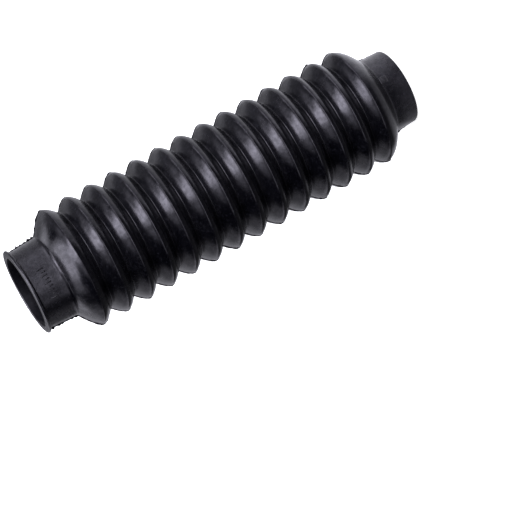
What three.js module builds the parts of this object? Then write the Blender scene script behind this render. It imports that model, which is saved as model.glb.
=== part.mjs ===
// Fork gaiter: one moulded rubber bellows with a plain cuff at each end.
// Millimetres, +Z up. The narrow cuff stands on z = 0 and the lipped wide cuff is on top.
// The origin is the centre of the narrow rim, and the sleeve's axis is +Z.

import * as THREE from 'three';

// Narrow cuff, at the bottom: a sleeve with a rounded rim, which opens slightly towards the folds.
const NARROW_CUFF_LENGTH = 12.0;
const NARROW_MOUTH_RADIUS = 18.4;
const NARROW_ROOT_RADIUS = 18.9;
const NARROW_RIM_ROUNDING = 1.0;

// Wide cuff, at the top: a sleeve that closes slightly towards its mouth, with a rounded lip.
const WIDE_CUFF_LENGTH = 15.8;
const WIDE_MOUTH_RADIUS = 19.3;
const WIDE_ROOT_RADIUS = 20.1;
const LIP_RADIUS = 21.0;
const LIP_FACE_RADIUS = 20.5;
const LIP_DEPTH = 1.8;
const LIP_UNDERSIDE_DROP = 0.54;

// Walls, measured square to the surface.
const CUFF_WALL = 1.9;
const FOLD_WALL = 1.8;
const BORE_CHAMFER = 0.3;

// Folds: equally spaced ones in the middle, and a longer shoulder fold next to each cuff.
// The middle folds widen a little from the lowest to the highest, and their crests hang a little
// below the middle between their valleys.
const MIDDLE_FOLDS = 12;
const FOLD_PITCH = 11.85;
const CREST_DROP = 0.45;
const LOWEST_CREST_RADIUS = 29.0;
const HIGHEST_CREST_RADIUS = 29.4;
const LOWEST_VALLEY_RADIUS = 24.1;
const HIGHEST_VALLEY_RADIUS = 24.4;
const LOWER_CREST_RADIUS = 28.7;
const LOWER_SHOULDER_HEIGHT = 10.0;
const LOWER_CREST_TO_VALLEY = 5.8;
const UPPER_CREST_RADIUS = 29.5;
const UPPER_SHOULDER_HEIGHT = 8.3;
const UPPER_VALLEY_TO_CREST = 6.5;

// A flank climbs from its foot to its crest as 1 - (1 - s) ^ power, with s from 0 to 1.
// A larger power gives a rounder flank.
const LOWER_FLANK_POWER = 1.5;
const UPPER_FLANK_POWER = 1.58;
const LOWER_SHOULDER_POWER = 1.7;
const UPPER_SHOULDER_POWER = 1.39;
const FLANK_STEPS = [0.36, 0.7];
const INNER_FLANK_STEPS = [0.5];

// Facets round the axis.
const ROUND_FACETS = 32;

// Heights that follow from the sizes above, from the narrow rim up.
const LOWER_CREST_Z = NARROW_CUFF_LENGTH + LOWER_SHOULDER_HEIGHT;
const FIRST_VALLEY_Z = LOWER_CREST_Z + LOWER_CREST_TO_VALLEY;
const LAST_VALLEY_Z = FIRST_VALLEY_Z + MIDDLE_FOLDS * FOLD_PITCH;
const UPPER_CREST_Z = LAST_VALLEY_Z + UPPER_VALLEY_TO_CREST;
const WIDE_ROOT_Z = UPPER_CREST_Z + UPPER_SHOULDER_HEIGHT;
const TOTAL_LENGTH = WIDE_ROOT_Z + WIDE_CUFF_LENGTH;

const { lerp } = THREE.MathUtils;

// The foot and crest points that the bellows runs through, from the bottom up.
// Each one also says how round the flank is that leads up to it.
function foldStations() {
  const stations = [
    { z: NARROW_CUFF_LENGTH, radius: NARROW_ROOT_RADIUS, wall: CUFF_WALL },
    { z: LOWER_CREST_Z, radius: LOWER_CREST_RADIUS, power: LOWER_SHOULDER_POWER, isCrest: true },
    { z: FIRST_VALLEY_Z, radius: LOWEST_VALLEY_RADIUS, power: UPPER_FLANK_POWER },
  ];
  for (let fold = 0; fold < MIDDLE_FOLDS; fold += 1) {
    const valleyZ = FIRST_VALLEY_Z + fold * FOLD_PITCH;
    stations.push({
      z: valleyZ + FOLD_PITCH / 2 - CREST_DROP,
      radius: lerp(LOWEST_CREST_RADIUS, HIGHEST_CREST_RADIUS, fold / (MIDDLE_FOLDS - 1)),
      power: LOWER_FLANK_POWER,
      isCrest: true,
    });
    stations.push({
      z: valleyZ + FOLD_PITCH,
      radius: lerp(LOWEST_VALLEY_RADIUS, HIGHEST_VALLEY_RADIUS, (fold + 1) / MIDDLE_FOLDS),
      power: UPPER_FLANK_POWER,
    });
  }
  stations.push({
    z: UPPER_CREST_Z,
    radius: UPPER_CREST_RADIUS,
    power: LOWER_FLANK_POWER,
    isCrest: true,
  });
  stations.push({
    z: WIDE_ROOT_Z,
    radius: WIDE_ROOT_RADIUS,
    power: UPPER_SHOULDER_POWER,
    wall: CUFF_WALL,
  });
  return stations;
}

// A point on the flank between two stations, at a share of the way up from its foot to its crest.
function flankPoint(lower, upper, share) {
  const foot = upper.isCrest ? lower : upper;
  const crest = upper.isCrest ? upper : lower;
  const climb = 1 - (1 - share) ** upper.power;
  const radius = foot.radius + (crest.radius - foot.radius) * climb;
  const z = foot.z + (crest.z - foot.z) * share;
  return new THREE.Vector2(radius, z);
}

// The outside of the bellows, from the narrow cuff's root up to the wide cuff's root.
function outerFolds() {
  const stations = foldStations();
  const points = [new THREE.Vector2(stations[0].radius, stations[0].z)];
  for (let index = 1; index < stations.length; index += 1) {
    const lower = stations[index - 1];
    const upper = stations[index];
    const shares = upper.isCrest ? FLANK_STEPS : [...FLANK_STEPS].reverse();
    for (const share of shares) {
      points.push(flankPoint(lower, upper, share));
    }
    points.push(new THREE.Vector2(upper.radius, upper.z));
  }
  return points;
}

// How far the inside lies in from a flank along the radius, for a wall measured square to it.
function flankWallAlongRadius(lower, upper) {
  const rise = Math.abs(upper.radius - lower.radius);
  const run = upper.z - lower.z;
  return FOLD_WALL * Math.hypot(1, rise / run);
}

// The inside of the bellows, from the bottom up: it follows the folds one wall further in.
function innerFolds() {
  const stations = foldStations();
  const points = [new THREE.Vector2(stations[0].radius - CUFF_WALL, stations[0].z)];
  for (let index = 1; index < stations.length; index += 1) {
    const lower = stations[index - 1];
    const upper = stations[index];
    const slopeWall = flankWallAlongRadius(lower, upper);
    for (const share of INNER_FLANK_STEPS) {
      const outer = flankPoint(lower, upper, share);
      points.push(new THREE.Vector2(outer.x - slopeWall, outer.y));
    }
    const stationWall = upper.wall ?? (upper.isCrest ? slopeWall : FOLD_WALL);
    points.push(new THREE.Vector2(upper.radius - stationWall, upper.z));
  }
  return points;
}

// The rounded outer edge of the narrow rim, from its flat end face up to the cuff's side.
function narrowRimPoints() {
  const inset = NARROW_RIM_ROUNDING * (1 - Math.SQRT1_2);
  return [
    new THREE.Vector2(NARROW_MOUTH_RADIUS - NARROW_RIM_ROUNDING, 0),
    new THREE.Vector2(NARROW_MOUTH_RADIUS - inset, inset),
    new THREE.Vector2(NARROW_MOUTH_RADIUS, NARROW_RIM_ROUNDING),
  ];
}

// The rounded lip of the wide cuff, from its foot on the cuff up to its flat end face.
function lipPoints() {
  const lipMiddleZ = TOTAL_LENGTH - LIP_DEPTH / 2;
  return [
    new THREE.Vector2(WIDE_MOUTH_RADIUS, TOTAL_LENGTH - LIP_DEPTH),
    new THREE.Vector2((WIDE_MOUTH_RADIUS + LIP_RADIUS) / 2, lipMiddleZ - LIP_UNDERSIDE_DROP),
    new THREE.Vector2(LIP_RADIUS, lipMiddleZ),
    new THREE.Vector2(LIP_FACE_RADIUS, TOTAL_LENGTH),
  ];
}

// The closed section of the whole sleeve: up the outside, over the wide rim and down the inside.
function gaiterSection() {
  const narrowBore = NARROW_MOUTH_RADIUS - CUFF_WALL;
  const wideBore = WIDE_MOUTH_RADIUS - CUFF_WALL;
  const start = new THREE.Vector2(narrowBore + BORE_CHAMFER, 0);
  return [
    start,
    ...narrowRimPoints(),
    ...outerFolds(),
    ...lipPoints(),
    new THREE.Vector2(wideBore + BORE_CHAMFER, TOTAL_LENGTH),
    new THREE.Vector2(wideBore, TOTAL_LENGTH - BORE_CHAMFER),
    ...innerFolds().reverse(),
    new THREE.Vector2(narrowBore, BORE_CHAMFER),
    start.clone(),
  ];
}

// Satin near-black rubber.
function rubber() {
  return new THREE.MeshStandardMaterial({
    name: 'rubber',
    color: 0x1b1b20,
    roughness: 0.5,
    metalness: 0,
  });
}

// The moulded sleeve, turned about +Z.
function makeGaiter() {
  const geometry = new THREE.LatheGeometry(gaiterSection(), ROUND_FACETS);
  geometry.rotateX(Math.PI / 2);
  const mesh = new THREE.Mesh(geometry, rubber());
  mesh.name = 'gaiter';
  return mesh;
}

const forkGaiter = new THREE.Group();
forkGaiter.name = 'fork_gaiter';
forkGaiter.add(makeGaiter());

export default forkGaiter;
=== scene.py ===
"""Dresses the fork gaiter: one moulded rubber sleeve with folds, two cuffs, mould flash and marks.

Lengths are in metres and angles in radians, unless a name says degrees. The sleeve's axis is +Z,
the narrow rim stands on z = 0, and the lipped wide rim is on top. An azimuth of zero is +X.
"""

from __future__ import annotations

import logging
import math
from collections.abc import Sequence
from dataclasses import dataclass
from enum import Enum

import bmesh
import bpy
import numpy as np
from mathutils import Matrix

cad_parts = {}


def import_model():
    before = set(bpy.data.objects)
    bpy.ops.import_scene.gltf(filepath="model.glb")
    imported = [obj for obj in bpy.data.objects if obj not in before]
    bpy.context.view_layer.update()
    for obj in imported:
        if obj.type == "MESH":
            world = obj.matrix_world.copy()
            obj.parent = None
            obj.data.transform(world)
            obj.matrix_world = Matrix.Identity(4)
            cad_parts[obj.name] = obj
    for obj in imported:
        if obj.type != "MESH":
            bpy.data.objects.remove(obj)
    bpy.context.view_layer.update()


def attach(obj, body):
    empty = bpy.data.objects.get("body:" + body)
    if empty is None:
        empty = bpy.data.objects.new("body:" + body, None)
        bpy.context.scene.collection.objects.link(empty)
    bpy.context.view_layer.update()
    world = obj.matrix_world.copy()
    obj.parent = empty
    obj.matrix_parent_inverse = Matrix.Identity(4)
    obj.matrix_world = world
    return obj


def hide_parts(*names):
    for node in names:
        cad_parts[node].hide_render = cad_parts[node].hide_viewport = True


MM = 0.001
NODE = "gaiter"
BODY = "root"

log = logging.getLogger("fork_gaiter")

Socket = bpy.types.NodeSocket
Colour = tuple[float, float, float, float]
Triple = tuple[float, float, float]


class PartingSide(Enum):
    """The two azimuths at which the mould halves met."""

    PLUS_X = 0.0
    MINUS_X = math.pi


@dataclass(frozen=True)
class SleeveSizes:
    """The sleeve's main sizes, the same as the solid's."""

    narrow_cuff_length: float = 12.0 * MM
    narrow_mouth_radius: float = 18.4 * MM
    narrow_root_radius: float = 18.9 * MM
    narrow_rim_rounding: float = 1.0 * MM
    wide_cuff_length: float = 15.8 * MM
    wide_mouth_radius: float = 19.3 * MM
    wide_root_radius: float = 20.1 * MM
    lip_radius: float = 21.0 * MM
    lip_depth: float = 1.8 * MM
    cuff_wall: float = 1.9 * MM
    fold_wall: float = 1.8 * MM
    middle_folds: int = 12
    fold_pitch: float = 11.85 * MM
    crest_drop: float = 0.45 * MM
    lowest_crest_radius: float = 29.0 * MM
    highest_crest_radius: float = 29.4 * MM
    lowest_valley_radius: float = 24.1 * MM
    highest_valley_radius: float = 24.4 * MM
    lower_crest_radius: float = 28.7 * MM
    lower_shoulder_height: float = 10.0 * MM
    lower_crest_to_valley: float = 5.8 * MM
    upper_crest_radius: float = 29.5 * MM
    upper_shoulder_height: float = 8.3 * MM
    upper_valley_to_crest: float = 6.5 * MM
    lower_flank_power: float = 1.5
    upper_flank_power: float = 1.58
    lower_shoulder_power: float = 1.7
    upper_shoulder_power: float = 1.39

    @property
    def lower_crest_z(self) -> float:
        """Height of the lowest crest."""
        return self.narrow_cuff_length + self.lower_shoulder_height

    @property
    def first_valley_z(self) -> float:
        """Height of the lowest valley."""
        return self.lower_crest_z + self.lower_crest_to_valley

    @property
    def last_valley_z(self) -> float:
        """Height of the highest valley."""
        return self.first_valley_z + self.middle_folds * self.fold_pitch

    @property
    def upper_crest_z(self) -> float:
        """Height of the highest crest."""
        return self.last_valley_z + self.upper_valley_to_crest

    @property
    def wide_root_z(self) -> float:
        """Height at which the highest fold meets the wide cuff."""
        return self.upper_crest_z + self.upper_shoulder_height

    @property
    def length(self) -> float:
        """Height of the wide rim."""
        return self.wide_root_z + self.wide_cuff_length


@dataclass(frozen=True)
class Stations:
    """The feet and crests of the bellows from the bottom up, one array entry each."""

    height: np.ndarray
    radius: np.ndarray
    power: np.ndarray
    is_crest: np.ndarray


def find_stations(sizes: SleeveSizes) -> Stations:
    """Lists the feet and crests of the bellows.

    A middle fold's crest is half a pitch, less the crest's drop, above its lower valley. Crests
    and valleys widen evenly from the lowest middle fold to the highest.

    Args:
        sizes: The sleeve's sizes.

    Returns:
        The stations. A power belongs to the flank that leads up to its station.
    """
    folds = np.arange(sizes.middle_folds)
    valley_below = sizes.first_valley_z + folds * sizes.fold_pitch
    crest_radius = np.linspace(sizes.lowest_crest_radius, sizes.highest_crest_radius, len(folds))
    valley_radius = np.linspace(
        sizes.lowest_valley_radius, sizes.highest_valley_radius, len(folds) + 1
    )
    to_crest = sizes.fold_pitch / 2 - sizes.crest_drop
    middle_z = np.stack([valley_below + to_crest, valley_below + sizes.fold_pitch], 1)
    middle_r = np.stack([crest_radius, valley_radius[1:]], 1)
    height = np.concatenate(
        [
            [sizes.narrow_cuff_length, sizes.lower_crest_z, sizes.first_valley_z],
            middle_z.ravel(),
            [sizes.upper_crest_z, sizes.wide_root_z],
        ]
    )
    radius = np.concatenate(
        [
            [sizes.narrow_root_radius, sizes.lower_crest_radius, valley_radius[0]],
            middle_r.ravel(),
            [sizes.upper_crest_radius, sizes.wide_root_radius],
        ]
    )
    is_crest = np.arange(len(height)) % 2 == 1
    power = np.where(is_crest, sizes.lower_flank_power, sizes.upper_flank_power)
    power[1] = sizes.lower_shoulder_power
    power[-1] = sizes.upper_shoulder_power
    return Stations(height, radius, power, is_crest)


@dataclass(frozen=True)
class Rounding:
    """How the edges of the moulding are eased.

    A larger value gives a rounder edge. The corners are where the folds meet the cuffs.
    """

    crest: float = 0.50 * MM
    crease: float = 0.70 * MM
    narrow_corner: float = 0.42 * MM
    wide_corner: float = 0.65 * MM
    reach: float = 2.9 * MM
    rim: float = 0.35 * MM


@dataclass(frozen=True)
class MeshSteps:
    """How finely the sleeve's surface is divided."""

    flank: int = 12
    inner_flank: int = 3
    cuff: int = 14
    rim: int = 8
    lip: int = 10
    round_columns: int = 168
    parting_columns: int = 14
    parting_half_width_degrees: float = 2.4


def climb(share: np.ndarray, power: np.ndarray) -> np.ndarray:
    """How far a flank has climbed from its foot to its crest.

    The climb is (1 + a) * share - a * share ** 2. The a is chosen so that half way up it equals
    the solid's law, 1 - (1 - share) ** power, and the flank still meets the crest at an angle.

    Args:
        share: Share of the flank's height, 0 at its foot and 1 at its crest.
        power: How round the flank is.

    Returns:
        The climb, from 0 at the foot to 1 at the crest.
    """
    roundness = 4 * (1 - 0.5**power) - 2
    return (1 + roundness) * share - roundness * share**2


class SleeveSection:
    """The closed section that the sleeve is turned from."""

    def __init__(self, sizes: SleeveSizes, rounding: Rounding, steps: MeshSteps) -> None:
        """Keeps the sizes and works out the stations.

        Args:
            sizes: The sleeve's sizes.
            rounding: How far crests, creases and rims are rounded.
            steps: How finely the section is divided.
        """
        self.sizes = sizes
        self.rounding = rounding
        self.steps = steps
        self.stations = find_stations(sizes)

    def bare_radius(self, height: np.ndarray) -> np.ndarray:
        """Finds the outer radius with sharp crests and creases, without the lip.

        Args:
            height: Heights above the narrow rim.

        Returns:
            The radius at each height.
        """
        sizes = self.sizes
        marks = self.stations
        index = np.clip(np.searchsorted(marks.height, height) - 1, 0, len(marks.height) - 2)
        low_z, high_z = marks.height[index], marks.height[index + 1]
        rising = marks.is_crest[index + 1]
        along = np.clip((height - low_z) / (high_z - low_z), 0, 1)
        share = np.where(rising, along, 1 - along)
        foot = np.where(rising, marks.radius[index], marks.radius[index + 1])
        crest = np.where(rising, marks.radius[index + 1], marks.radius[index])
        folds = foot + (crest - foot) * climb(share, marks.power[index + 1])
        narrow = np.interp(
            height,
            [sizes.narrow_rim_rounding, sizes.narrow_cuff_length],
            [sizes.narrow_mouth_radius, sizes.narrow_root_radius],
        )
        wide = np.interp(
            height,
            [sizes.wide_root_z, sizes.length],
            [sizes.wide_root_radius, sizes.wide_mouth_radius],
        )
        cuffs = np.where(height < sizes.narrow_cuff_length, narrow, wide)
        in_folds = (height >= sizes.narrow_cuff_length) & (height <= sizes.wide_root_z)
        return np.where(in_folds, folds, cuffs)

    def easing(self, height: np.ndarray) -> np.ndarray:
        """Change of radius that rounds each crest and crease.

        The two slopes that meet at a station part by k times the distance d from it. Their smooth
        maximum lies sqrt((k d) ** 2 + e ** 2) / 2 - |k d| / 2 above the sharp one, where e is the
        rounding. It is added at a crease and taken off at a crest, and fades to nothing at the
        reach of the rounding. A crest gets e / 2 back, fading along its flanks, so that its radius
        stays the solid's.

        Args:
            height: Heights above the narrow rim.

        Returns:
            What is added to the radius at each height.
        """
        marks = self.stations
        probe = 0.02 * MM
        here = self.bare_radius(marks.height)
        slope_up = (self.bare_radius(marks.height + probe) - here) / probe
        slope_down = (self.bare_radius(marks.height - probe) - here) / probe
        bend = np.abs(slope_up + slope_down)
        nearest = np.abs(height[:, None] - marks.height[None, :]).argmin(1)
        away = np.abs(height - marks.height[nearest])
        spread = bend[nearest] * away
        fade = np.clip(1 - (away / self.rounding.reach) ** 2, 0, 1)
        eased = np.where(marks.is_crest, -self.rounding.crest, self.rounding.crease)
        eased[[0, -1]] = self.rounding.narrow_corner, self.rounding.wide_corner
        amount = eased[nearest]
        raised = np.where(marks.is_crest, self.rounding.crest / 2, 0.0)
        lift = np.interp(height, marks.height, raised, left=0, right=0)
        return np.sign(amount) * (np.hypot(spread, amount) - spread) / 2 * fade + lift

    def outer_radius(self, height: np.ndarray) -> np.ndarray:
        """Outer radius at a height, with rounded crests and creases, without the lip."""
        return self.bare_radius(height) + self.easing(height)

    def outer_heights(self) -> np.ndarray:
        """Spaces the outer rows, crowded towards the crests and creases.

        Returns:
            The rows' heights, from the narrow rim's rounding up to the lip's foot.
        """
        sizes = self.sizes
        turn = np.linspace(0, math.pi, self.steps.flank + 1)[:-1]
        eased = (1 - np.cos(turn)) / 2
        low, high = self.stations.height[:-1, None], self.stations.height[1:, None]
        flanks = (low + (high - low) * eased[None, :]).ravel()
        cuff_turn = np.linspace(0, math.pi, self.steps.cuff)
        cuff_share = (1 - np.cos(cuff_turn)) / 2
        start = sizes.narrow_rim_rounding
        narrow = start + (sizes.narrow_cuff_length - start) * cuff_share
        lip_foot = sizes.length - sizes.lip_depth
        wide = sizes.wide_root_z + (lip_foot - sizes.wide_root_z) * cuff_share
        return np.concatenate([narrow[:-1], flanks, wide])

    def lip(self) -> np.ndarray:
        """Rounds the lip: half an ellipse from its foot on the cuff over to the flat rim.

        Returns:
            Rows of (radius, height).
        """
        sizes = self.sizes
        turn = np.linspace(-math.pi / 2, math.pi / 2, self.steps.lip + 2)[1:]
        half_depth = sizes.lip_depth / 2
        core_radius = sizes.wide_mouth_radius + self.rounding.crease / 2
        radius = core_radius + (sizes.lip_radius - core_radius) * np.cos(turn)
        height = sizes.length - half_depth + half_depth * np.sin(turn)
        return np.stack([radius, height], 1)

    def inner(self) -> np.ndarray:
        """Follows the outside from the top down, one wall further in.

        Returns:
            Rows of (radius, height), from the wide rim to the narrow one.
        """
        sizes = self.sizes
        marks = self.stations
        share = np.linspace(0, 1, self.steps.inner_flank + 1)[:-1]
        low, high = marks.height[:-1, None], marks.height[1:, None]
        height = np.append((low + (high - low) * share[None, :]).ravel(), marks.height[-1])
        rise = np.abs(np.diff(marks.radius))
        slope_wall = sizes.fold_wall * np.hypot(1, rise / np.diff(marks.height))
        wall_at = np.where(marks.is_crest, np.append(slope_wall, 0), sizes.fold_wall)
        wall_at[[0, -1]] = sizes.cuff_wall
        wall = np.interp(height, marks.height, wall_at)
        folds = np.stack([self.bare_radius(height) - wall, height], 1)
        rim = self.rounding.rim
        wide_bore = sizes.wide_mouth_radius - sizes.cuff_wall
        narrow_bore = sizes.narrow_mouth_radius - sizes.cuff_wall
        top = [[wide_bore + rim, sizes.length], [wide_bore, sizes.length - rim]]
        bottom = [[narrow_bore, rim], [narrow_bore + rim, 0.0]]
        return np.concatenate([top, folds[::-1], bottom])

    def narrow_rim(self) -> np.ndarray:
        """Rounds the narrow rim's outer edge, from the flat face up to the cuff.

        Returns:
            Rows of (radius, height).
        """
        turn = np.linspace(-math.pi / 2, 0, self.steps.rim)[:-1]
        rim = self.sizes.narrow_rim_rounding
        core_radius = self.sizes.narrow_mouth_radius - rim
        return np.stack([core_radius + rim * np.cos(turn), rim + rim * np.sin(turn)], 1)

    def closed(self) -> np.ndarray:
        """Joins the whole section: up the outside and down the inside.

        Returns:
            Rows of (radius, height). The last row meets the first.
        """
        height = self.outer_heights()
        outside = np.stack([self.outer_radius(height), height], 1)
        return np.concatenate([self.narrow_rim(), outside, self.lip(), self.inner()])


@dataclass(frozen=True)
class Unevenness:
    """Small departures from a true body of revolution, as a soft moulding has.

    A swell's turns count its waves round the sleeve, and its pitch is in radians to the metre.
    """

    seed: int = 7
    bow: float = 0.4 * MM
    tilt: float = 0.002
    lean_y: float = 0.0107
    swell: float = 0.07 * MM
    swell_waves: int = 7
    swell_turns: tuple[int, int] = (1, 6)
    swell_pitch: tuple[float, float] = (70.0, 420.0)
    swell_fade: float = 12.0 * MM
    groove_depth: float = 0.16 * MM
    groove_half_width: float = 0.34 * MM


class SleeveSurface:
    """Places points of the sleeve: the turned section with its bow, tilted folds and swells."""

    def __init__(self, section: SleeveSection, uneven: Unevenness) -> None:
        """Draws the random tilts and waves once, so that every piece follows the same surface.

        Args:
            section: The section that is turned.
            uneven: How far the sleeve departs from a true one.
        """
        self.section = section
        self.uneven = uneven
        draw = np.random.default_rng(uneven.seed)
        count = len(section.stations.height)
        self.tilts = draw.normal(0, uneven.tilt, (2, count))
        self.tilts[1] += uneven.lean_y
        self.tilts[:, [0, -1]] = 0
        waves = uneven.swell_waves
        self.wave_turns = draw.integers(*uneven.swell_turns, waves)
        self.wave_pitch = draw.uniform(*uneven.swell_pitch, waves)
        self.wave_phase = draw.uniform(0, 2 * math.pi, waves)

    def place(self, radius: np.ndarray, height: np.ndarray, azimuth: np.ndarray) -> np.ndarray:
        """Turns radius, height and azimuth into points.

        The radius gains a sum of slow waves round and along the sleeve. All the folds' planes lean
        one way, as on a sleeve that was stored bent, and each one tilts a little more by itself.
        The axis bows towards -X by a parabola.

        Args:
            radius: Distance from the axis.
            height: Height above the narrow rim.
            azimuth: Angle from +X.

        Returns:
            Points, with x, y and z on the last axis.
        """
        radius, height, azimuth = np.broadcast_arrays(radius, height, azimuth)
        stations = self.section.stations.height
        length = self.section.sizes.length
        swell = np.zeros(radius.shape)
        for turns, pitch, phase in zip(self.wave_turns, self.wave_pitch, self.wave_phase):
            swell = swell + np.sin(turns * azimuth + pitch * height + phase)
        from_end = np.minimum(height, length - height)
        inside_ends = np.clip(from_end / self.uneven.swell_fade, 0, 1)
        radius = radius + self.uneven.swell * swell / self.uneven.swell_waves * inside_ends
        x, y = radius * np.cos(azimuth), radius * np.sin(azimuth)
        tilt_x = np.interp(height, stations, self.tilts[0], left=0, right=0)
        tilt_y = np.interp(height, stations, self.tilts[1], left=0, right=0)
        share = np.clip(height / length, 0, 1)
        bow = self.uneven.bow * 4 * share * (1 - share)
        return np.stack([x - bow, y, height + x * tilt_x + y * tilt_y], -1)

    def groove(self, radius: np.ndarray, height: np.ndarray, azimuth: np.ndarray) -> np.ndarray:
        """Finds how deep the parting groove cuts: a bell curve across each parting line.

        Args:
            radius: Distance from the axis.
            height: Height above the narrow rim.
            azimuth: Angle from +X.

        Returns:
            The depth, which is nothing on the cuffs.
        """
        turn = (azimuth + math.pi / 2) % math.pi - math.pi / 2
        across = radius * np.sin(turn)
        sizes = self.section.sizes
        on_folds = (height > sizes.narrow_cuff_length) & (height < sizes.wide_root_z)
        depth = self.uneven.groove_depth * np.exp(-((across / self.uneven.groove_half_width) ** 2))
        return depth * on_folds


def make_mesh(name: str, points: np.ndarray, quads: np.ndarray) -> bpy.types.Object:
    """Makes a smooth-shaded object from points and quads.

    Args:
        name: The piece's name.
        points: Vertex places, one row each.
        quads: Vertex indices, four to a row.

    Returns:
        The object, at the origin and linked to the scene.
    """
    mesh = bpy.data.meshes.new(name)
    mesh.vertices.add(len(points))
    mesh.vertices.foreach_set("co", points.astype(np.float32).ravel())
    mesh.loops.add(quads.size)
    mesh.loops.foreach_set("vertex_index", quads.astype(np.int32).ravel())
    mesh.polygons.add(len(quads))
    mesh.polygons.foreach_set("loop_start", np.arange(0, quads.size, 4, dtype=np.int32))
    mesh.polygons.foreach_set("use_smooth", np.ones(len(quads), dtype=bool))
    mesh.update(calc_edges=True)
    mesh.validate()
    piece = bpy.data.objects.new(name, mesh)
    bpy.context.scene.collection.objects.link(piece)
    return piece


def ring_quads(rows: int, columns: int) -> np.ndarray:
    """Joins a grid whose rows and columns both close on themselves.

    Args:
        rows: Rows of the grid.
        columns: Columns of the grid.

    Returns:
        Vertex indices, four to a quad.
    """
    index = np.arange(rows * columns).reshape(rows, columns)
    right = np.roll(index, -1, 1)
    up = np.roll(index, -1, 0)
    up_right = np.roll(up, -1, 1)
    return np.stack([index, right, up_right, up], -1).reshape(-1, 4)


def slab_quads(rows: int, columns: int) -> np.ndarray:
    """Quads of a closed slab: a top grid, a bottom grid below it and the four sides.

    Args:
        rows: Rows of each grid.
        columns: Columns of each grid.

    Returns:
        Vertex indices, where the bottom grid's vertices follow the top grid's.
    """
    top = np.arange(rows * columns).reshape(rows, columns)
    bottom = top + rows * columns

    def cells(grid: np.ndarray) -> np.ndarray:
        """Quads of one grid."""
        return np.stack([grid[:-1, :-1], grid[:-1, 1:], grid[1:, 1:], grid[1:, :-1]], -1)

    def side(upper: np.ndarray, lower: np.ndarray) -> np.ndarray:
        """Quads between an edge of the top grid and the same edge of the bottom grid."""
        return np.stack([upper[:-1], lower[:-1], lower[1:], upper[1:]], -1)

    return np.concatenate(
        [
            cells(top).reshape(-1, 4),
            cells(bottom)[..., ::-1].reshape(-1, 4),
            side(top[0], bottom[0]),
            side(top[-1, ::-1], bottom[-1, ::-1]),
            side(top[::-1, 0], bottom[::-1, 0]),
            side(top[:, -1], bottom[:, -1]),
        ]
    )


def set_attribute(piece: bpy.types.Object, name: str, values: np.ndarray) -> None:
    """Stores one number at each vertex of a piece, for its material to read."""
    attribute = piece.data.attributes.new(name, "FLOAT", "POINT")
    attribute.data.foreach_set("value", values.astype(np.float32).ravel())


@dataclass(frozen=True)
class Sleeve:
    """The moulded sleeve itself, inside and out.

    Its -X side is paler, with scuffing that is partly a painted reflection, from where the cosine
    of the turn from -X passes the start.
    """

    surface: SleeveSurface
    steps: MeshSteps
    cuff_fade: float = 1.2 * MM
    scuff_and_sheen_start: float = 0.70

    def azimuths(self) -> np.ndarray:
        """Spaces the columns evenly, with a close set across each parting line.

        Returns:
            The columns' azimuths, once round.
        """
        half = math.radians(self.steps.parting_half_width_degrees)
        close = np.linspace(-half, half, self.steps.parting_columns)
        per_side = self.steps.round_columns // 2
        open_part = np.linspace(half, math.pi - half, per_side + 2)[1:-1]
        one_side = np.concatenate([close, open_part])
        return np.concatenate([one_side, one_side + math.pi])

    def build(self, moulded: bpy.types.Material, bore: bpy.types.Material) -> bpy.types.Object:
        """Turns the section about the axis and cuts the parting grooves into the outside.

        Args:
            moulded: The outside's material.
            bore: The bore's material, darker and duller: painted shade inside the sleeve.

        Returns:
            The sleeve.
        """
        section = self.surface.section.closed()
        outer_rows = len(section) - len(self.surface.section.inner())
        radius, height = section[:, 0, None], section[:, 1, None]
        azimuth = self.azimuths()[None, :]
        groove = self.surface.groove(radius, height, azimuth)
        groove[outer_rows:] = 0
        points = self.surface.place(radius - groove, height, azimuth)
        quads = ring_quads(*points.shape[:2])
        piece = make_mesh("moulded_sleeve", points.reshape(-1, 3), quads)
        columns = azimuth.shape[1]
        self.store_zones(piece, section, columns)
        piece.data.materials.append(moulded)
        piece.data.materials.append(bore)
        self.split_bore(piece, outer_rows, columns)
        return piece

    def store_zones(self, piece: bpy.types.Object, section: np.ndarray, columns: int) -> None:
        """Stores how far each vertex is on a cuff and on the -X side with its scuffing and painted
        reflection.

        Args:
            piece: The sleeve.
            section: The section's rows, as (radius, height).
            columns: Number of columns round the sleeve.
        """
        sizes = self.surface.section.sizes
        height = section[:, 1]
        below = np.clip((sizes.narrow_cuff_length - height) / self.cuff_fade, 0, 1)
        above = np.clip((height - sizes.wide_root_z) / self.cuff_fade, 0, 1)
        to_minus_x = -np.cos(self.azimuths())
        # Paler -X side: scuffing, and a painted reflection along that side.
        scuff = np.clip((to_minus_x - self.scuff_and_sheen_start) / (1 - self.scuff_and_sheen_start), 0, 1)
        set_attribute(piece, "cuff", np.repeat(np.maximum(below, above), columns))
        set_attribute(piece, "scuff", np.tile(scuff, len(height)))

    def split_bore(self, piece: bpy.types.Object, outer_rows: int, columns: int) -> None:
        """Gives the faces of the bore the piece's second material.

        The bore's first row, at the wide rim, and its last two, at the narrow rim, stay outside.

        Args:
            piece: The sleeve, whose faces run row by row.
            outer_rows: Number of rows on the outside.
            columns: Number of columns round the sleeve.
        """
        row = np.arange(len(piece.data.polygons)) // columns
        in_bore = (row >= outer_rows + 1) & (row < row[-1] - 1)
        piece.data.polygons.foreach_set("material_index", in_bore.astype(np.int32))


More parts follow.
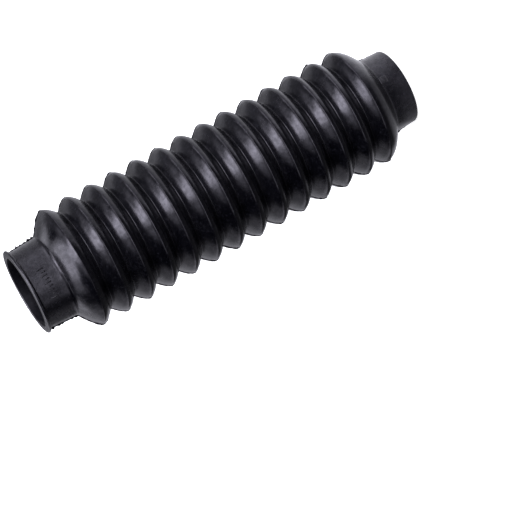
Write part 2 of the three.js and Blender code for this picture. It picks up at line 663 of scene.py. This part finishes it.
@dataclass(frozen=True)
class FlashSizes:
    """The thin flash that the mould's joint left, and its ragged nibs.

    The sharpness is the power that the nibs are raised to: a larger one leaves fewer of them. The
    blade's waist is given as shares of its half thickness and of its height.
    """

    seed: int = 23
    half_thickness: float = 0.2 * MM
    waist_thickness: float = 0.8
    waist_height: float = 0.75
    sink: float = 0.35 * MM
    step: float = 0.16 * MM
    fold_height: float = 0.30 * MM
    fold_nibs: float = 0.35 * MM
    fold_sharpness: float = 3.0
    cuff_height: float = 0.38 * MM
    cuff_nibs: float = 0.95 * MM
    cuff_sharpness: float = 2.6
    shoulder_nibs: float = 0.7 * MM
    shoulder_sharpness: float = 1.6
    narrow_sharpness: float = 2.2
    zone_fade: float = 1.0 * MM
    web: float = 0.75 * MM
    web_reach: float = 2.0 * MM
    nib_pitch: float = 0.75 * MM


class MouldFlash:
    """The ragged fin along one parting line."""

    def __init__(self, surface: SleeveSurface, sizes: FlashSizes, side: PartingSide) -> None:
        """Keeps what the fin is made from and starts its random draws.

        Args:
            surface: The surface that the fin stands on.
            sizes: The fin's sizes.
            side: The parting line that it follows.
        """
        self.surface = surface
        self.sizes = sizes
        self.side = side
        self.draw = np.random.default_rng(sizes.seed + len(side.name))

    def nibs(self, height: np.ndarray, sharpness: float) -> np.ndarray:
        """Draws ragged tufts: random knots joined by lines, raised to a power.

        Args:
            height: Heights of the blade's rows.
            sharpness: The power.

        Returns:
            How far each row stands out, from 0 to 1.
        """
        reach = height[-1] - height[0]
        knots = np.linspace(height[0], height[-1], int(reach / self.sizes.nib_pitch))
        return np.interp(height, knots, self.draw.random(len(knots))) ** sharpness

    def tip_height(self, height: np.ndarray) -> np.ndarray:
        """Finds how far the fin stands out of the surface.

        The folds, the shoulder, the wide cuff and the narrow cuff each have their own tufts. On the
        narrow cuff they shrink towards the rim.

        Args:
            height: Heights of the blade's rows.

        Returns:
            How far each row stands out.
        """
        sleeve = self.surface.section.sizes
        sizes = self.sizes
        fade = sizes.zone_fade
        on_wide = np.clip((height - sleeve.wide_root_z + fade) / fade, 0, 1)
        on_shoulder = np.clip((height - sleeve.upper_crest_z) / fade, 0, 1) * (1 - on_wide)
        on_narrow = np.clip((sleeve.narrow_cuff_length - height + fade) / fade, 0, 1)
        near_root = np.clip(height / sleeve.narrow_cuff_length, 0, 1) ** 2
        plain = sizes.fold_height + sizes.fold_nibs * self.nibs(height, sizes.fold_sharpness)
        wide = sizes.cuff_height + sizes.cuff_nibs * self.nibs(height, sizes.cuff_sharpness)
        tufts = sizes.shoulder_nibs * self.nibs(height, sizes.shoulder_sharpness)
        shoulder = sizes.fold_height + tufts
        tufts = sizes.shoulder_nibs * self.nibs(height, sizes.narrow_sharpness)
        narrow = (sizes.fold_height + tufts) * near_root
        on_folds = 1 - on_wide - on_shoulder
        folds_and_top = plain * on_folds + shoulder * on_shoulder + wide * on_wide
        return folds_and_top * (1 - on_narrow) + narrow * on_narrow

    def tip_radius(self, height: np.ndarray, outer: np.ndarray) -> np.ndarray:
        """Finds the fin's edge, which stands above the surface and fills each valley's crease.

        Args:
            height: Heights of the blade's rows.
            outer: The sleeve's outer radius at those heights.

        Returns:
            The edge's radius.
        """
        stations = self.surface.section.stations
        feet = ~stations.is_crest
        feet[[0, -1]] = False
        web = np.interp(height, stations.height[feet], stations.radius[feet]) + self.sizes.web
        first, last = stations.height[feet][[0, -1]]
        reach = self.sizes.web_reach
        in_valleys = (height > first - reach) & (height < last + reach)
        plain = outer + self.tip_height(height)
        return np.where(in_valleys, np.maximum(plain, web), plain)

    def build(self) -> bpy.types.Object:
        """Runs a thin pointed blade along the parting line.

        Each row is a closed ring of five points: two sunk in the wall, two at the waist and the
        edge.

        Returns:
            The blade.
        """
        section = self.surface.section
        sizes = self.sizes
        start = section.rounding.rim * 2
        end = section.sizes.length - section.sizes.lip_depth
        height = np.arange(start, end, sizes.step)
        outer = section.outer_radius(height)
        tip = self.tip_radius(height, outer)
        root = outer - sizes.sink
        waist = sizes.waist_thickness
        offset = sizes.half_thickness * np.array([-1, -waist, 0, waist, 1])
        waist_radius = root + (tip - root) * sizes.waist_height
        radius = np.stack([root, waist_radius, tip, waist_radius, root], 1)
        azimuth = self.side.value + offset[None, :] / radius
        rows, ring = radius.shape
        points = self.surface.place(radius, height[:, None], azimuth).reshape(-1, 3)
        index = np.arange(rows * ring).reshape(rows, ring)
        ahead = np.roll(index, -1, 1)
        walls = np.stack([index[:-1], ahead[:-1], ahead[1:], index[1:]], -1).reshape(-1, 4)
        piece = make_mesh(f"mould_flash_{self.side.name.lower()}", points, walls)
        self.close_ends(piece)
        set_attribute(piece, "cuff", np.zeros(len(points)))
        return piece

    @staticmethod
    def close_ends(piece: bpy.types.Object) -> None:
        """Closes the blade's two open ends and turns its faces outward.

        Args:
            piece: The blade.
        """
        shell = bmesh.new()
        shell.from_mesh(piece.data)
        open_edges = [edge for edge in shell.edges if edge.is_boundary]
        bmesh.ops.holes_fill(shell, edges=open_edges, sides=0)
        bmesh.ops.recalc_face_normals(shell, faces=shell.faces)
        shell.to_mesh(piece.data)
        shell.free()


@dataclass(frozen=True)
class Pillow:
    """A flat-topped pillow over a sunk floor, both following a cuff.

    Its middle lies the offset round from the azimuth, clockwise. The powers say how flat its top
    is along the sleeve and round it.
    """

    azimuth: float
    offset: float
    middle_z: float
    height: float
    width: float
    rise: float
    sink: float
    grid: int
    end_power: int
    side_power: int

    def points(self, surface: SleeveSurface, grain: np.ndarray | float = 0.0) -> np.ndarray:
        """Places the pillow.

        Args:
            surface: The surface that it stands on.
            grain: How much its top is worn down at each point.

        Returns:
            The top's points and then the floor's.
        """
        share = np.linspace(-1, 1, self.grid)
        along, across = np.meshgrid(share, share, indexing="ij")
        height = self.middle_z + along * self.height / 2
        radius = surface.section.outer_radius(height.ravel()).reshape(height.shape)
        azimuth = self.azimuth - (self.offset + across * self.width / 2) / radius
        rise = (1 - along**self.end_power) * (1 - across**self.side_power)
        raised = radius - self.sink + (self.rise + self.sink - grain) * rise
        top = surface.place(raised, height, azimuth)
        floor = surface.place(radius - 2 * self.sink, height, azimuth)
        return np.concatenate([top.reshape(-1, 3), floor.reshape(-1, 3)])


@dataclass(frozen=True)
class CuffMarks:
    """A row of plain raised bars on the wide cuff, long and short by turns."""

    surface: SleeveSurface
    count: int = 9
    first_degrees: float = 286.0
    spacing: float = 1.75 * MM
    width: float = 0.85 * MM
    long_bar: float = 3.8 * MM
    short_bar: float = 2.5 * MM
    middle_below_rim: float = 8.2 * MM
    rise: float = 0.5 * MM
    sink: float = 0.3 * MM
    grid: int = 13
    end_power: int = 6
    side_power: int = 2
    # Share of the pale streaks, scuffing and painted reflection, on the bars.
    scuff: float = 0.7

    def bar(self, number: int) -> np.ndarray:
        """Places one bar. All the bars stand on one line.

        Args:
            number: The bar's place in the row, from 0.

        Returns:
            The bar's points.
        """
        length = self.long_bar if number % 2 == 0 else self.short_bar
        base = self.surface.section.sizes.length - self.middle_below_rim - self.long_bar / 2
        bar = Pillow(
            azimuth=math.radians(self.first_degrees),
            offset=number * self.spacing,
            middle_z=base + length / 2,
            height=length,
            width=self.width,
            rise=self.rise,
            sink=self.sink,
            grid=self.grid,
            end_power=self.end_power,
            side_power=self.side_power,
        )
        return bar.points(self.surface)

    def build(self) -> bpy.types.Object:
        """Joins the bars into one piece.

        Returns:
            The row of bars.
        """
        bars = [self.bar(number) for number in range(self.count)]
        quads = slab_quads(self.grid, self.grid)
        per_bar = len(bars[0])
        all_quads = np.concatenate([quads + number * per_bar for number in range(self.count)])
        piece = make_mesh("cuff_marks", np.concatenate(bars), all_quads)
        set_attribute(piece, "cuff", np.ones(per_bar * self.count))
        set_attribute(piece, "scuff", np.full(per_bar * self.count, self.scuff))
        return piece


@dataclass(frozen=True)
class CuffPad:
    """A small low pad on the narrow cuff, with a grainy face and pale scuffing streaks."""

    surface: SleeveSurface
    middle_degrees: float = 285.0
    width: float = 3.8 * MM
    height: float = 4.2 * MM
    middle_z: float = 10.0 * MM
    rise: float = 0.25 * MM
    sink: float = 0.3 * MM
    grid: int = 33
    edge_power: int = 10
    grain: float = 0.05 * MM
    seed: int = 5

    def build(self) -> bpy.types.Object:
        """Makes the pad: a flat-topped pillow whose face has a random grain.

        Returns:
            The pad.
        """
        pad = Pillow(
            azimuth=math.radians(self.middle_degrees),
            offset=0.0,
            middle_z=self.middle_z,
            height=self.height,
            width=self.width,
            rise=self.rise,
            sink=self.sink,
            grid=self.grid,
            end_power=self.edge_power,
            side_power=self.edge_power,
        )
        grain = np.random.default_rng(self.seed).random((self.grid, self.grid)) * self.grain
        points = pad.points(self.surface, grain)
        piece = make_mesh("cuff_pad", points, slab_quads(self.grid, self.grid))
        set_attribute(piece, "scuff", np.ones(len(points)))
        set_attribute(piece, "cuff", np.ones(len(points)))
        return piece


class NodeBoard:
    """A small helper that adds and joins shader nodes."""

    def __init__(self, tree: bpy.types.NodeTree) -> None:
        """Clears the tree."""
        self.tree = tree
        tree.nodes.clear()

    def add(self, kind: str, **settings: object) -> bpy.types.Node:
        """Adds a node and sets its properties.

        Args:
            kind: The node's type.
            **settings: Its properties.

        Returns:
            The node.
        """
        node = self.tree.nodes.new(kind)
        for name, value in settings.items():
            setattr(node, name, value)
        return node

    def join(self, source: Socket, target: Socket) -> None:
        """Links one socket to another."""
        self.tree.links.new(source, target)

    def feed(self, target: Socket, value: object) -> None:
        """Sets a socket to a plain value, or links it where the value is a socket.

        Args:
            target: The socket.
            value: The value or the socket that gives it.
        """
        if isinstance(value, Socket):
            self.join(value, target)
        else:
            target.default_value = value

    def math(self, operation: str, *values: object) -> Socket:
        """Adds a Math node.

        Args:
            operation: What it works out.
            *values: Its values, each one plain or a socket.

        Returns:
            The result.
        """
        node = self.add("ShaderNodeMath", operation=operation)
        for socket, value in zip(node.inputs, values):
            self.feed(socket, value)
        return node.outputs[0]

    def blend(
        self, share: Socket, first: bpy.types.Node, second: bpy.types.Node
    ) -> Socket:
        """Mixes two shaders.

        Args:
            share: Share of the second shader.
            first: The shader's node at a share of 0.
            second: The shader's node at a share of 1.

        Returns:
            The mixed shader.
        """
        node = self.add("ShaderNodeMixShader")
        self.join(share, node.inputs[0])
        self.join(first.outputs[0], node.inputs[1])
        self.join(second.outputs[0], node.inputs[2])
        return node.outputs[0]

    def mix(self, share: Socket, first: Colour | Socket, second: Colour) -> Socket:
        """Mixes two colours.

        Args:
            share: Share of the second colour.
            first: The colour, or its socket, at a share of 0.
            second: The colour at a share of 1.

        Returns:
            The mixed colour.
        """
        node = self.add("ShaderNodeMix", data_type="RGBA")
        colours = [socket for socket in node.inputs if socket.type == "RGBA"]
        self.join(share, node.inputs["Factor"])
        self.feed(colours[0], first)
        self.feed(colours[1], second)
        return next(socket for socket in node.outputs if socket.type == "RGBA")

    def ramp(
        self, value: object, low: float, high: float, start: float = 0, end: float = 1
    ) -> Socket:
        """Maps a value between low and high to start and end, and clamps it.

        Args:
            value: The socket or number to map.
            low: The value that becomes the start.
            high: The value that becomes the end. It may be less than low.
            start: What low becomes.
            end: What high becomes.

        Returns:
            The mapped value.
        """
        node = self.add("ShaderNodeMapRange")
        for name, given in zip(
            ("Value", "From Min", "From Max", "To Min", "To Max"), (value, low, high, start, end)
        ):
            self.feed(node.inputs[name], given)
        return node.outputs["Result"]

    def azimuth(self, direction: Socket) -> Socket:
        """Finds a direction's or place's azimuth, in degrees from -Y towards +X.

        Args:
            direction: The direction or place.

        Returns:
            The azimuth, between -180 and 180.
        """
        parts = self.add("ShaderNodeSeparateXYZ")
        self.join(direction, parts.inputs[0])
        ahead = self.math("MULTIPLY", parts.outputs["Y"], -1.0)
        return self.math("DEGREES", self.math("ARCTAN2", parts.outputs["X"], ahead))

    def turn_from(self, azimuth: Socket, middle: float) -> Socket:
        """Finds how far an azimuth lies from a middle one, either way round.

        Args:
            azimuth: The azimuth in degrees.
            middle: The middle azimuth in degrees.

        Returns:
            The angle between them, from 0 to 180 degrees.
        """
        turned = self.math("WRAP", self.math("SUBTRACT", azimuth, middle), 180.0, -180.0)
        return self.math("ABSOLUTE", turned)

    def noise(
        self, place: Socket, scale: float, detail: float, rough: float = 0.5
    ) -> Socket:
        """Adds a noise texture.

        Args:
            place: Where the texture is read.
            scale: How many of its largest swells lie in a metre.
            detail: How many finer layers are added.
            rough: How strong each finer layer is.

        Returns:
            The noise, between 0 and 1.
        """
        node = self.add("ShaderNodeTexNoise")
        self.feed(node.inputs["Vector"], place)
        node.inputs["Scale"].default_value = scale
        node.inputs["Detail"].default_value = detail
        node.inputs["Roughness"].default_value = rough
        return node.outputs["Fac"]

    def attribute(self, name: str) -> Socket:
        """Reads a number stored on the mesh."""
        return self.add("ShaderNodeAttribute", attribute_name=name).outputs["Fac"]

    def stretch(self, place: Socket, scale: Triple, turn: Triple) -> Socket:
        """Scales and turns a texture's place.

        Args:
            place: The place.
            scale: Its scale along X, Y and Z.
            turn: Its turn about X, Y and Z.

        Returns:
            The place where the texture is read.
        """
        node = self.add("ShaderNodeMapping")
        self.feed(node.inputs["Vector"], place)
        node.inputs["Scale"].default_value = scale
        node.inputs["Rotation"].default_value = turn
        return node.outputs["Vector"]


@dataclass(frozen=True)
class Cloud:
    """A noise that is cut to a span and mapped to another.

    The scale counts its largest swells in a metre, and the layers are the finer ones added.
    """

    scale: float
    layers: float
    rough: float = 0.5
    low: float = 0.0
    high: float = 1.0
    start: float = 0.0
    end: float = 1.0

    def value(self, board: NodeBoard, place: Socket) -> Socket:
        """Reads the noise at a place and maps low and high to start and end."""
        noise = board.noise(place, self.scale, self.layers, self.rough)
        return board.ramp(noise, self.low, self.high, self.start, self.end)


@dataclass(frozen=True)
class RubberFinish:
    """Satin near-black rubber with a faint bloom, fine grain, pits, hairlines and pale scuffing,
    partly a painted reflection.
    """

    name: str = "moulded_rubber"
    colour: Colour = (0.0016, 0.0016, 0.0028, 1.0)
    bloom: Colour = (0.012, 0.012, 0.016, 1.0)
    bloom_clouds: Cloud = Cloud(85.0, 4.0, 0.6, 0.48, 0.75)
    bloom_on_cuff: float = 0.35
    bloom_share: float = 0.35
    dust: Cloud = Cloud(750.0, 2.0, 0.6, 0.56, 0.72, 0.0, 0.9)
    # Pale streaks: scuffing, and on the -X side a painted reflection.
    scuff_and_sheen_colour: Colour = (0.055, 0.053, 0.056, 1.0)
    scuff_and_sheen_scale: Triple = (260.0, 260.0, 620.0)
    scuff_and_sheen_turn: Triple = (0.3, 0.7, 0.2)
    scuff_and_sheen_streaks: Cloud = Cloud(1.0, 3.0, 0.7, 0.42, 0.72)
    scratch_ways: tuple[tuple[Triple, Triple], ...] = (
        ((500.0, 500.0, 90.0), (0.5, 0.2, 0.0)),
        ((160.0, 160.0, 620.0), (0.2, 0.9, 0.4)),
    )
    scratch_half_width: float = 0.004
    scratch_patches: Cloud = Cloud(130.0, 2.0, 0.5, 0.56, 0.66)
    scratch_roughness: float = 0.2
    scratch_relief: float = 0.5
    pit_scale: float = 260.0
    pit_choice: tuple[float, float] = (0.90, 0.93)
    pit_radius: tuple[float, float] = (0.10, 0.04)
    pit_relief: float = 3.0
    roughness: float = 0.20
    mottle: Cloud = Cloud(420.0, 3.0, 0.6, 0.3, 0.7, -0.05, 0.05)
    drift: Cloud = Cloud(60.0, 3.0, 0.5, 0.35, 0.7, -0.04, 0.06)
    cuff_roughness: float = 0.06
    refraction: float = 1.55
    specular_level: float = 0.5
    blotches: Cloud = Cloud(520.0, 3.0, 0.65, 0.35, 0.65, 0.72, 1.2)
    specular_tint: Colour = (0.92, 0.89, 0.99, 1.0)
    peel: Cloud = Cloud(900.0, 3.0, 0.55)
    grain: Cloud = Cloud(3200.0, 2.0, 0.6)
    grain_relief: float = 0.25
    bump_strength: float = 0.38
    bump_distance: float = 0.05 * MM

    def scratches(self, board: NodeBoard, place: Socket) -> Socket:
        """Sparse hairlines: thin level lines of two stretched noises, kept only in patches.

        Args:
            board: The material's nodes.
            place: The place on the piece.

        Returns:
            1 on a hairline and 0 beside it.
        """
        lines = []
        for scale, turn in self.scratch_ways:
            noise = board.noise(board.stretch(place, scale, turn), 1.0, 1.0)
            near = board.math("ABSOLUTE", board.math("SUBTRACT", noise, 0.5))
            lines.append(board.ramp(near, self.scratch_half_width, 0.0))
        both = board.math("MAXIMUM", *lines)
        return board.math("MULTIPLY", both, self.scratch_patches.value(board, place))

    def pits(self, board: NodeBoard, place: Socket) -> Socket:
        """Sparse small pits: the middles of a few cells.

        Args:
            board: The material's nodes.
            place: The place on the piece.

        Returns:
            1 in a pit and 0 beside it.
        """
        cells = board.add("ShaderNodeTexVoronoi")
        board.join(place, cells.inputs["Vector"])
        cells.inputs["Scale"].default_value = self.pit_scale
        chosen = board.add("ShaderNodeSeparateColor")
        board.join(cells.outputs["Color"], chosen.inputs["Color"])
        few = board.ramp(chosen.outputs["Red"], *self.pit_choice)
        dot = board.ramp(cells.outputs["Distance"], *self.pit_radius)
        return board.math("MULTIPLY", few, dot)

    def base_colour(self, board: NodeBoard, place: Socket, scratches: Socket) -> Socket:
        """Colours the rubber: bloom, hairlines and dust are pale, and the scuffing, partly a
        painted reflection, is paler.

        Args:
            board: The material's nodes.
            place: The place on the piece.
            scratches: The hairlines.

        Returns:
            The colour.
        """
        on_cuff = board.math("MULTIPLY", board.attribute("cuff"), self.bloom_on_cuff)
        bloom = board.math("ADD", self.bloom_clouds.value(board, place), on_cuff)
        bloom = board.math("MULTIPLY", board.math("MINIMUM", bloom, 1.0), self.bloom_share)
        pale = board.math("ADD", bloom, scratches)
        pale = board.math("ADD", pale, self.dust.value(board, place))
        rubber = board.mix(board.math("MINIMUM", pale, 1.0), self.colour, self.bloom)
        # The pale streaks: scuffing, and on the -X side a painted reflection.
        stretched = board.stretch(place, self.scuff_and_sheen_scale, self.scuff_and_sheen_turn)
        streaks = self.scuff_and_sheen_streaks.value(board, stretched)
        scuffs_and_sheen = board.math("MULTIPLY", streaks, board.attribute("scuff"))
        return board.mix(scuffs_and_sheen, rubber, self.scuff_and_sheen_colour)

    def surface_roughness(self, board: NodeBoard, place: Socket, scratches: Socket) -> Socket:
        """Varies the roughness in small and broad patches, on the cuffs and along hairlines.

        Args:
            board: The material's nodes.
            place: The place on the piece.
            scratches: The hairlines.

        Returns:
            The roughness.
        """
        patches = board.math("ADD", self.mottle.value(board, place), self.drift.value(board, place))
        rough = board.math("ADD", patches, self.roughness)
        cuff = board.math("MULTIPLY", board.attribute("cuff"), self.cuff_roughness)
        rough = board.math("ADD", rough, cuff)
        return board.math("ADD", rough, board.math("MULTIPLY", scratches, self.scratch_roughness))

    def relief(self, board: NodeBoard, place: Socket, scratches: Socket) -> Socket:
        """Bumps the surface: a soft peel with a fine grain, cut by pits and hairlines.

        Args:
            board: The material's nodes.
            place: The place on the piece.
            scratches: The hairlines.

        Returns:
            The bumped normal.
        """
        grain = board.math("MULTIPLY", self.grain.value(board, place), self.grain_relief)
        pits = board.math("MULTIPLY", self.pits(board, place), self.pit_relief)
        height = board.math("ADD", self.peel.value(board, place), grain)
        height = board.math("SUBTRACT", height, pits)
        cuts = board.math("MULTIPLY", scratches, self.scratch_relief)
        bump = board.add("ShaderNodeBump")
        bump.inputs["Strength"].default_value = self.bump_strength
        bump.inputs["Distance"].default_value = self.bump_distance
        board.join(board.math("SUBTRACT", height, cuts), bump.inputs["Height"])
        return bump.outputs["Normal"]

    def build(self) -> bpy.types.Material:
        """Makes the material.

        Returns:
            The material.
        """
        material = bpy.data.materials.new(self.name)
        material.use_nodes = True
        board = NodeBoard(material.node_tree)
        place = board.add("ShaderNodeTexCoord").outputs["Object"]
        shader = board.add("ShaderNodeBsdfPrincipled")
        output = board.add("ShaderNodeOutputMaterial")
        board.join(shader.outputs["BSDF"], output.inputs["Surface"])
        hairlines = self.scratches(board, place)
        level = board.math("MULTIPLY", self.blotches.value(board, place), self.specular_level)
        board.join(self.base_colour(board, place, hairlines), shader.inputs["Base Color"])
        board.join(self.surface_roughness(board, place, hairlines), shader.inputs["Roughness"])
        board.join(level, shader.inputs["Specular IOR Level"])
        board.join(self.relief(board, place, hairlines), shader.inputs["Normal"])
        shader.inputs["IOR"].default_value = self.refraction
        shader.inputs["Specular Tint"].default_value = self.specular_tint
        return material


MOULDED_RUBBER = RubberFinish()
# The bore's darker bloom and weak reflection are painted shade inside the sleeve.
SHADED_BORE_RUBBER = RubberFinish(
    name="bore_rubber",
    bloom=(0.004, 0.004, 0.006, 1.0),
    roughness=0.5,
    specular_level=0.12,
)
# The flash's finish: torn and dull, and darker to paint the shade along the parting lines.
TORN_SHADED_RUBBER = RubberFinish(
    name="torn_rubber",
    bloom=(0.003, 0.003, 0.004, 1.0),
    roughness=0.55,
    specular_level=0.15,
)


@dataclass(frozen=True)
class LightField:
    """A soft-edged field of light in the surroundings, such as a softbox or a pale wall.

    Azimuths count from -Y, the camera's side, towards +X, and elevations from the horizon. All
    the angles are in degrees.
    """

    name: str
    azimuth: float
    half_width: float
    bottom: float
    top: float
    radiance: float
    edge: float = 10.0

    def strength(
        self, board: NodeBoard, azimuth: Socket, elevation: Socket
    ) -> Socket:
        """Works out how bright the field is in a direction: a product of three soft edges.

        Args:
            board: The world's nodes.
            azimuth: Azimuth of the direction.
            elevation: Elevation of the direction.

        Returns:
            The field's radiance in that direction.
        """
        half_edge = self.edge / 2
        away = board.turn_from(azimuth, self.azimuth)
        across = board.ramp(away, self.half_width + half_edge, self.half_width - half_edge)
        above = board.ramp(elevation, self.bottom - half_edge, self.bottom + half_edge)
        below = board.ramp(elevation, self.top + half_edge, self.top - half_edge)
        upright = board.math("MULTIPLY", above, below)
        shape = board.math("MULTIPLY", across, upright)
        return board.math("MULTIPLY", shape, self.radiance)


ALL_ROUND = 190.0
BELOW_HORIZON = -20.0
ABOVE_ZENITH = 100.0

LIGHT_FIELDS = (
    LightField("key", 28.0, 25.0, 21.0, 69.0, 3.8, edge=15.0),
    LightField("key_middle", 30.0, 14.0, 26.0, 55.0, 2.9, edge=16.0),
    LightField("key_tail", -8.0, 24.0, 25.0, 66.0, 0.9, edge=24.0),
    LightField("key_right", 74.0, 20.0, 34.0, 60.0, 0.85, edge=22.0),
    LightField("overhead", 0.0, ALL_ROUND, 78.0, ABOVE_ZENITH, 4.2),
    LightField("overhead_right", 90.0, 75.0, 60.0, 78.0, 3.8),
    LightField("overhead_left", -140.0, 45.0, 63.0, 80.0, 1.1),
    LightField("low_front", 8.0, 27.0, BELOW_HORIZON, 9.0, 3.1, edge=12.0),
    LightField("low_front_left", -39.0, 20.0, BELOW_HORIZON, 9.0, 1.4, edge=12.0),
    LightField("low_right", 62.0, 27.0, BELOW_HORIZON, 9.0, 2.3),
    LightField("left", -140.0, 32.0, BELOW_HORIZON, 40.0, 0.38, edge=12.0),
    LightField("low_left", -116.0, 26.0, BELOW_HORIZON, 8.0, 0.5),
    LightField("right", 110.0, 40.0, BELOW_HORIZON, 45.0, 0.25),
    LightField("back", 175.0, 40.0, 34.0, 82.0, 1.9),
    LightField("low_back", 175.0, 42.0, BELOW_HORIZON, 34.0, 0.25),
)


@dataclass(frozen=True)
class Studio:
    """The pale floor and the surroundings that light the sleeve.

    The floor is dim in a sector in front of the sleeve. Near the sleeve it glows outside a
    narrower sector, and closest to its foot it glows a little all round. The azimuths count from
    -Y towards +X, in degrees.
    """

    floor_half: float = 5.0
    floor_colour: Colour = (0.8, 0.8, 0.8, 1.0)
    floor_glow: float = 0.85
    floor_dim: float = 0.05
    floor_bright: float = 0.44
    dim_middle: float = -53.0
    dim_half_width: float = 96.0
    near_glow: float = 0.65
    near_dim: float = 0.02
    near_middle: float = -38.0
    near_half_width: float = 62.0
    near_reach: float = 0.095
    near_core: float = 0.055
    foot_glow: float = 0.36
    foot_reach: float = 0.040
    foot_core: float = 0.029
    sector_edge: float = 20.0
    light_colour: Colour = (0.97, 0.97, 1.06, 1.0)
    seen_colour: Colour = (1.0, 1.0, 1.0, 1.0)
    fields: tuple[LightField, ...] = LIGHT_FIELDS

    def build(self) -> None:
        """Sets up the whole studio."""
        self.make_world()
        self.make_floor()

    def make_world(self) -> None:
        """White where the camera looks, and the sum of the light fields for everything else."""
        world = bpy.data.worlds.new("studio")
        bpy.context.scene.world = world
        world.use_nodes = True
        board = NodeBoard(world.node_tree)
        direction = board.add("ShaderNodeTexCoord").outputs["Generated"]
        parts = board.add("ShaderNodeSeparateXYZ")
        board.join(direction, parts.inputs[0])
        azimuth = board.azimuth(direction)
        elevation = board.math("DEGREES", board.math("ARCSINE", parts.outputs["Z"]))
        total = 0.0
        for light_field in self.fields:
            total = board.math("ADD", light_field.strength(board, azimuth, elevation), total)
        lit = board.add("ShaderNodeBackground")
        lit.inputs["Color"].default_value = self.light_colour
        board.join(total, lit.inputs["Strength"])
        seen = board.add("ShaderNodeBackground")
        seen.inputs["Color"].default_value = self.seen_colour
        camera = board.add("ShaderNodeLightPath").outputs["Is Camera Ray"]
        output = board.add("ShaderNodeOutputWorld")
        board.join(board.blend(camera, lit, seen), output.inputs["Surface"])

    def seen_floor(self, board: NodeBoard) -> bpy.types.Node:
        """Makes the floor that the camera sees: pale, and glowing so that it looks white.

        Args:
            board: The floor's nodes.

        Returns:
            The shader's node.
        """
        pale = board.add("ShaderNodeBsdfDiffuse")
        pale.inputs["Color"].default_value = self.floor_colour
        glow = board.add("ShaderNodeEmission")
        glow.inputs["Strength"].default_value = self.floor_glow
        seen = board.add("ShaderNodeAddShader")
        board.join(pale.outputs[0], seen.inputs[0])
        board.join(glow.outputs[0], seen.inputs[1])
        return seen

    def lit_floor(self, board: NodeBoard) -> bpy.types.Node:
        """Makes the floor that lights the sleeve: dim in front, with a glow close to its foot.

        Args:
            board: The floor's nodes.

        Returns:
            The shader's node.
        """
        place = board.add("ShaderNodeTexCoord").outputs["Object"]
        azimuth = board.azimuth(place)
        half_edge = self.sector_edge / 2
        turned = board.turn_from(azimuth, self.dim_middle)
        inner, outer = self.dim_half_width - half_edge, self.dim_half_width + half_edge
        shade = board.ramp(turned, inner, outer, self.floor_dim, self.floor_bright)
        mirrored = board.add("ShaderNodeBsdfDiffuse")
        board.join(shade, mirrored.inputs["Color"])
        turned = board.turn_from(azimuth, self.near_middle)
        inner, outer = self.near_half_width - half_edge, self.near_half_width + half_edge
        level = board.ramp(turned, inner, outer, self.near_dim, self.near_glow)
        distance = board.add("ShaderNodeVectorMath", operation="LENGTH")
        board.join(place, distance.inputs[0])
        away = distance.outputs["Value"]
        close = board.math("MULTIPLY", board.ramp(away, self.near_reach, self.near_core), level)
        under = board.ramp(away, self.foot_reach, self.foot_core, 0.0, self.foot_glow)
        near = board.add("ShaderNodeEmission")
        near.inputs["Color"].default_value = self.light_colour
        board.join(board.math("MAXIMUM", close, under), near.inputs["Strength"])
        lit = board.add("ShaderNodeAddShader")
        board.join(mirrored.outputs[0], lit.inputs[0])
        board.join(near.outputs[0], lit.inputs[1])
        return lit

    def make_floor(self) -> None:
        """Lays a floor that is one shader to the camera and another to the sleeve."""
        material = bpy.data.materials.new("pale_floor")
        material.use_nodes = True
        board = NodeBoard(material.node_tree)
        seen, lit = self.seen_floor(board), self.lit_floor(board)
        camera = board.add("ShaderNodeLightPath").outputs["Is Camera Ray"]
        output = board.add("ShaderNodeOutputMaterial")
        board.join(board.blend(camera, lit, seen), output.inputs["Surface"])
        half = self.floor_half
        corners = np.array([[-half, -half, 0], [half, -half, 0], [half, half, 0], [-half, half, 0]])
        floor = make_mesh("floor", corners, np.array([[0, 1, 2, 3]]))
        floor.data.materials.append(material)


@dataclass(frozen=True)
class PhotoCamera:
    """The photograph's camera: higher than the sleeve's top, looking down a little, and rolled."""

    position: Triple = (-39.36 * MM, -1075.47 * MM, 349.03 * MM)
    look_down_degrees: float = 13.1
    roll_degrees: float = -119.64
    sensor: float = 36.0
    lens: float = 166.15

    def place(self) -> bpy.types.Object:
        """Makes the camera and gives it to the scene.

        Returns:
            The camera.
        """
        data = bpy.data.cameras.new("camera")
        data.sensor_width = self.sensor
        data.lens = self.lens
        camera = bpy.data.objects.new("camera", data)
        pitch = Matrix.Rotation(math.radians(90 - self.look_down_degrees), 4, "X")
        roll = Matrix.Rotation(math.radians(self.roll_degrees), 4, "Z")
        camera.matrix_world = Matrix.Translation(self.position) @ pitch @ roll
        bpy.context.scene.collection.objects.link(camera)
        bpy.context.scene.camera = camera
        return camera


def main() -> None:
    """Builds the sleeve's pieces, dresses them and sets up the studio."""
    logging.basicConfig(level=logging.INFO, format="%(name)s: %(message)s")
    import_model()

    sizes = SleeveSizes()
    steps = MeshSteps()
    section = SleeveSection(sizes, Rounding(), steps)
    surface = SleeveSurface(section, Unevenness())
    moulded = MOULDED_RUBBER.build()
    torn_shaded = TORN_SHADED_RUBBER.build()
    sleeve = Sleeve(surface, steps).build(moulded, SHADED_BORE_RUBBER.build())
    fins = [MouldFlash(surface, FlashSizes(), side).build() for side in PartingSide]
    for fin in fins:
        fin.data.materials.append(torn_shaded)
    raised = [CuffMarks(surface).build(), CuffPad(surface).build()]
    for piece in raised:
        piece.data.materials.append(moulded)
    for piece in (sleeve, *fins, *raised):
        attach(piece, BODY)
        log.info("%s: %d faces", piece.name, len(piece.data.polygons))
    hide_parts(NODE)

    Studio().build()
    PhotoCamera().place()
    bpy.context.scene.view_settings.view_transform = "Standard"


if __name__ == "__main__":
    main()
